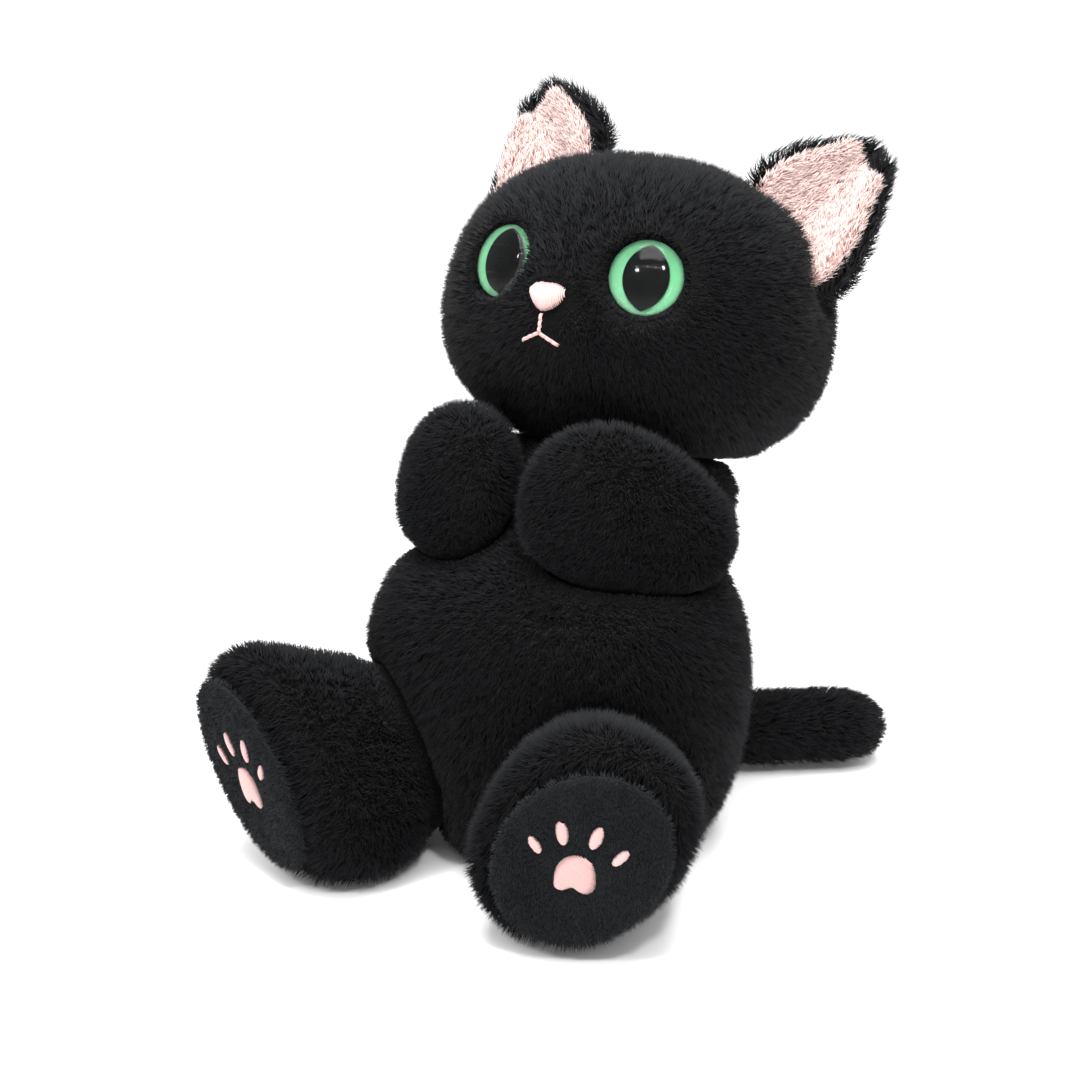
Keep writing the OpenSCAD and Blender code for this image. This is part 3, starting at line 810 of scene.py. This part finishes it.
for s, sign in SIDES.items():
    paths = satin(smooth_loop(MAIN_PAD), math.radians(52), 0.55, 1.1, rng, on_sole)
    for x, y, turn, half_w, half_h in TOES:
        t = math.radians(turn)
        loop = [(x + half_w * math.cos(a) * math.cos(t) - half_h * math.sin(a) * math.sin(t),
                 y + half_w * math.cos(a) * math.sin(t) + half_h * math.sin(a) * math.cos(t))
                for a in np.linspace(0, 2 * math.pi, 16, endpoint=False)]
        paths += satin(loop, t + math.radians(62), 0.45, 0.9, rng, on_sole)
    threads(f"pad_threads_{s}", paths, 0.27, f"leg_{s}", [f"pad_stitching_{s}"],
            lambda p, sign=sign: sole_point(sign, p))


# ---- eyes ----

EYE_TURN = rot("Z", math.radians(17)) @ rot("X", math.radians(90 - 5))


def eye_axes(side):
    """The middle of an iris, and the directions across, up and out of the eye."""
    lo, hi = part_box(f"iris_{side}")
    axes = HEAD_TURN @ EYE_TURN
    across, up, out = (mirror(SIDES[side], axes[:, i]) for i in range(3))
    return np.array((lo + hi) / 2), across * SIDES[side], up, out


def disc(name, centre, across, up, out, radius, depth, material, body, stands_for,
         rings=10, ring=64):
    """A shallow dish with polar UVs: x turns round it, y runs from its middle to its rim."""
    verts, faces, uvs = [centre - out * depth], [], []
    for j in range(1, rings + 1):
        r = radius * j / rings
        for k in range(ring):
            t = 2 * math.pi * k / ring
            verts.append(centre + across * r * math.cos(t) + up * r * math.sin(t)
                         - out * depth * (1 - (j / rings) ** 2))
    back = len(verts)
    for k in range(ring):
        t = 2 * math.pi * k / ring
        verts.append(centre + (across * math.cos(t) + up * math.sin(t)) * radius
                     - out * (depth + DISH_THICK))
    verts.append(centre - out * (depth + DISH_THICK))
    for k in range(ring):
        k2 = (k + 1) % ring
        faces.append([0, 1 + k, 1 + k2])
        uvs += [((k + 0.5) / ring, 0), (k / ring, 1 / rings), ((k + 1) / ring, 1 / rings)]
        for j in range(rings - 1):
            a, b = 1 + j * ring, 1 + (j + 1) * ring
            faces.append([a + k, b + k, b + k2, a + k2])
            uvs += [((k + dk) / ring, (j + dj) / rings) for dk, dj in ((0, 1), (0, 2), (1, 2), (1, 1))]
        rim = 1 + (rings - 1) * ring
        faces.append([rim + k, back + k, back + k2, rim + k2])
        uvs += [(k / ring, 1)] * 4
        faces.append([back + k, len(verts) - 1, back + k2])
        uvs += [(k / ring, 1)] * 3
    obj = new_object(name, verts, faces, material)
    layer = obj.data.uv_layers.new(name="OFBake")
    layer.data.foreach_set("uv", np.array(uvs, float).ravel())
    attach(obj, body)
    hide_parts(*stands_for)
    return obj


DISH_THICK = 0.0006
for s in SIDES:
    middle, across, up, out = eye_axes(s)
    disc(f"iris_dish_{s}", middle + out * 0.55 * MM, across, up, out, (EYE_R - 0.35) * MM, 0.0004,
         IRIS, "head", [f"iris_{s}"])


def dome(name, centre, across, up, out, radius, height, material, body, stands_for,
         rings=16, ring=72):
    """A solid clear cap with a flat back."""
    verts, faces = [centre + out * height], []
    for j in range(1, rings + 1):
        a = math.pi / 2 * j / rings
        for k in range(ring):
            t = 2 * math.pi * k / ring
            verts.append(centre + (across * math.cos(t) + up * math.sin(t)) * radius * math.sin(a)
                         + out * height * math.cos(a))
    for k in range(ring):
        faces.append((0, 1 + k, 1 + (k + 1) % ring))
        for j in range(rings - 1):
            a, b = 1 + j * ring, 1 + (j + 1) * ring
            faces.append((a + k, b + k, b + (k + 1) % ring, a + (k + 1) % ring))
    faces.append(tuple(1 + (rings - 1) * ring + k for k in range(ring))[::-1])
    obj = new_object(name, verts, faces, material)
    obj.data.polygons[-1].use_smooth = False
    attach(obj, body)
    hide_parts(*stands_for)
    return obj


for s in SIDES:
    middle, across, up, out = eye_axes(s)
    dome(f"clear_cap_{s}", middle + out * 1.35 * MM, across, up, out, EYE_R * MM, 0.0056,
         CLEAR, "head", [f"eye_dome_{s}"])


# ---- materials of the CAD nodes that stay ----

def dress(names, material):
    for n in names:
        obj = NODES[n]
        obj.data.materials.clear()
        obj.data.materials.append(material)


dress(sides("pupil"), PUPIL)
dress(sides("eye_shank"), POST)
dress(sides("eye_washer"), WASHER)
dress(sides("ear_seam") + ["neck_seam"], BACKING)
dress(["neck_filling", "tail_root_filling"] + sides("shoulder_filling", "hip_filling"), STUFFING)
for n in sides("pupil"):
    NODES[n].data.shade_smooth()


# ---- pile ----

def comb_head(root, normal):
    """Brushed back from the nose, and down over the cheeks."""
    p = to_head(root)
    away = unit(p - np.array([0, -HEAD_D, -6])) @ HEAD_TURN.T
    return away * 0.55 + np.array([0, 0.1, -0.35])


EYE_RING = 9  # how far round an eye the pile is shorter and brushed outward


def rule_head(root, normal, size, brushed):
    """Short pile round the eyes, nose and mouth, and none where they are."""
    p = to_head(root)
    keep = np.ones(len(root), bool)
    for sign in (1, -1):
        c = mirror(sign, EYE_C)
        axis = mirror(sign, EYE_TURN[:, 2])
        off = p - c
        off = off - (off @ axis)[:, None] * axis
        r = np.linalg.norm(off, axis=1)
        front = (p - c) @ axis > -12
        close = front & (r < EYE_R + EYE_RING)
        blend = np.where(close, np.clip((EYE_R + EYE_RING - r) / 7, 0, 1), 0)[:, None]
        outward = unit(off) @ HEAD_TURN.T
        brushed = brushed * (1 - blend) + tangent(outward, normal) * blend * 1.15
        size = np.where(close, size * np.clip(0.42 + (r - EYE_R) / 14, 0.3, 1), size)
        keep &= ~(front & (r < EYE_R - 0.1))
    face = p[:, 1] < -40
    nose = np.hypot(p[:, 0] / 7.2, (p[:, 2] - NOSE_Z) / 5.4)
    keep &= ~(face & (nose < 0.9))
    size = np.where(face & (nose < 2.2), size * np.clip(0.30 + (nose - 0.9) * 0.5, 0.25, 1), size)
    stem = np.abs(p[:, 0]) + np.maximum(0, np.abs(p[:, 2] + 12) - 4)
    arm = (np.abs(p[:, 2] - MOUTH_FORK + np.abs(p[:, 0]) * 0.46)
           + np.maximum(0, np.abs(p[:, 0]) - 7))
    mouth = np.minimum(stem, arm)
    size = np.where(face & (mouth < 4.5), size * np.clip(0.16 + mouth / 6, 0.16, 1), size)
    keep &= ~(face & (mouth < 0.7))
    return size, keep, brushed


def rule_leg(sign):
    """Bare under the sole, longer round its rim, short where the leg rests on the floor."""
    def rule(root, normal, size, brushed):
        p = to_sole(sign, root)
        r = np.hypot(p[:, 0] / 26, p[:, 1] / 34)
        keep = ~((p[:, 2] > -1.5) & (r < 0.99))
        rim = np.clip(1 - np.abs(p[:, 2]) / 12, 0, 1)
        size = size * (1 + 0.25 * rim)
        size = np.where(root[:, 2] < 0.005, size * 0.5, size)
        return size, keep, brushed
    return rule


def rule_sole(sign):
    """Short pile on the front of the sole, shorter still round the stitched print."""
    def rule(root, normal, size, brushed):
        p = to_sole(sign, root)
        keep = p[:, 2] > 0.4
        c, d = math.cos(PRINT_TURN), math.sin(PRINT_TURN)
        x, y = p[:, 0] * c + (p[:, 1] - PAD_DROP) * d, (p[:, 1] - PAD_DROP) * c - p[:, 0] * d
        pad = np.hypot(x / 7.6, y / 7.4)
        keep &= ~((pad < 0.85) & (y > -6))
        near = pad
        for tx, ty, turn, w, h in TOES:
            t = math.radians(turn)
            dx, dy = x - tx, y - ty
            a, b = dx * math.cos(t) + dy * math.sin(t), -dx * math.sin(t) + dy * math.cos(t)
            toe = np.hypot(a / w, b / h)
            keep &= toe > 0.95
            near = np.minimum(near, 0.6 + toe * 0.4)
        size = size * np.clip(0.5 + (near - 0.9) * 0.8, 0.45, 1)
        return size, keep, brushed
    return rule


NEAR_FLOOR = 0.006


def rule_torso(root, normal, size, brushed):
    keep = ~((normal[:, 2] < -0.7) & (root[:, 2] < 0.008))
    size = np.where(root[:, 2] < NEAR_FLOOR, size * 0.5, size)
    return size, keep, brushed


def rule_floor(root, normal, size, brushed):
    keep = np.ones(len(root), bool)
    size = np.where((root[:, 2] < NEAR_FLOOR) & (normal[:, 2] < -0.5), size * 0.35, size)
    return size, keep, brushed


def toward(point, strength=0.6, down=0.15):
    """Brushed toward a point, in millimetres, and a little down."""
    target = np.array(point) * MM

    def comb(root, normal):
        return unit(target - root) * strength + np.array([0, 0, -down])
    return comb


limbs = {"torso": torso, "head": head, "tail": tail}
for s in SIDES:
    limbs |= {f"arm_{s}": arms[s], f"leg_{s}": legs[s]}


def others(*bodies):
    return tree([o for b, o in limbs.items() if b not in bodies])


PILE, FIBRE = 0.0052, 0.00046  # length and thickness, in metres
fur("torso_fur", torso, lambda p, n: np.array([0, -0.1, -0.75]) + n * 0, 2.4, PILE, FIBRE, FUR,
    "torso", 11, others("torso"), rule=rule_torso, parts=3)
fur("head_fur", head, comb_head, 2.6, PILE * 0.9, FIBRE, FUR, "head", 12,
    others("head"), rule=rule_head, parts=4)
for i, (s, sign) in enumerate(SIDES.items()):
    fur(f"arm_fur_{s}", arms[s], toward([sign * 16, -60, 118]), 2.4, PILE * 0.9, FIBRE, FUR,
        f"arm_{s}", 20 + i, others(f"arm_{s}"), rule=rule_floor)
    fur(f"leg_fur_{s}", legs[s], toward([sign * 66, -140, 40], 0.6), 2.2, PILE * 1.05, FIBRE, FUR,
        f"leg_{s}", 30 + i, others(f"leg_{s}"), rule=rule_leg(sign), parts=2)
    fur(f"sole_fur_{s}", soles[s], toward([sign * 70, -100, -60], 0.35), 3.2, 0.0021, 0.0004,
        FUR_SOLE, f"leg_{s}", 40 + i, rule=rule_sole(sign), messy=0.5)
fur("tail_fur", tail, toward([110, 150, 14], 0.9), 2.6, PILE * 1.2, FIBRE, FUR, "tail",
    50, others("tail"), rule=rule_floor, bent=True)


# Ears: dark fibres over the back and the rim, pale long ones over the lining.
def rule_clear(cover, gap):
    """No fibres nearer than gap to the surface cover."""
    def rule(root, normal, size, brushed):
        return size, clear_of(root, cover, EAR_REACH) > gap, brushed
    return rule


def comb_ear(side, spread):
    """Up the ear, and in over its face where spread is below 0."""
    foot = head_point([SIDES[side] * 44.5, 8, 26])
    tip = np.array(EAR_TIP[side]) * MM
    axis = unit(tip - foot)

    def comb(root, normal):
        off = root - foot
        out = off - (off @ axis)[:, None] * axis
        return axis * 0.8 + unit(out) * spread
    return comb


EAR_TIP = {"left": (70, 96, 229), "right": (-62, 88, 238)}
EAR_REACH = 0.004


for i, s in enumerate(SIDES):
    body = BODY_OF[f"ear_back_{s}"]
    fur(f"ear_fur_{s}", ears[s], comb_ear(s, -0.6), 3.6, 0.0060, 0.00042, FUR, body,
        60 + i, tree([head]), room=0.9, rule=rule_clear(tree([linings[s]]), 0.0007), bent=True)
    fur(f"ear_lining_fur_{s}", linings[s], comb_ear(s, -0.3), 5.0, 0.0041, 0.0005, FUR_PINK, body,
        70 + i, tree([head]), room=0.8, rule=rule_clear(tree([ears[s]]), 0.0019),
        lift=0.55, messy=0.35, bent=True)


# ---- stage ----

camera()
pale = plastic_material("pale_floor", (0.96, 0.96, 0.96), (0.98, 0.98, 0.98), rough=0.9, scale=4)
floor = new_object("floor", [(-6, -6, 0), (6, -6, 0), (6, 6, 0), (-6, 6, 0)], [(0, 1, 2, 3)], pale)
world = bpy.data.worlds.new("studio")
world.use_nodes = True
world.node_tree.nodes["Background"].inputs["Color"].default_value = (1, 1, 1, 1)
world.node_tree.nodes["Background"].inputs["Strength"].default_value = 1.0
bpy.context.scene.world = world
bpy.context.scene.view_settings.view_transform = "Standard"
area_light("key", (0.1, -0.2, 1.35), (0, 0, 0.12), 0.9, 30)
# Two round lamps joined by a bar, which the eyes reflect.
area_light("lamp_a", (-0.1, -1.03, 0.97), EYE_LEVEL, 0.10, 5, shape="DISK")
area_light("lamp_b", (0.70, -0.65, 1.10), EYE_LEVEL, 0.13, 8, shape="DISK")
area_light("lamp_bar", (0.25, -0.9, 1.11), EYE_LEVEL, 0.85, 2.6, size_y=0.02)
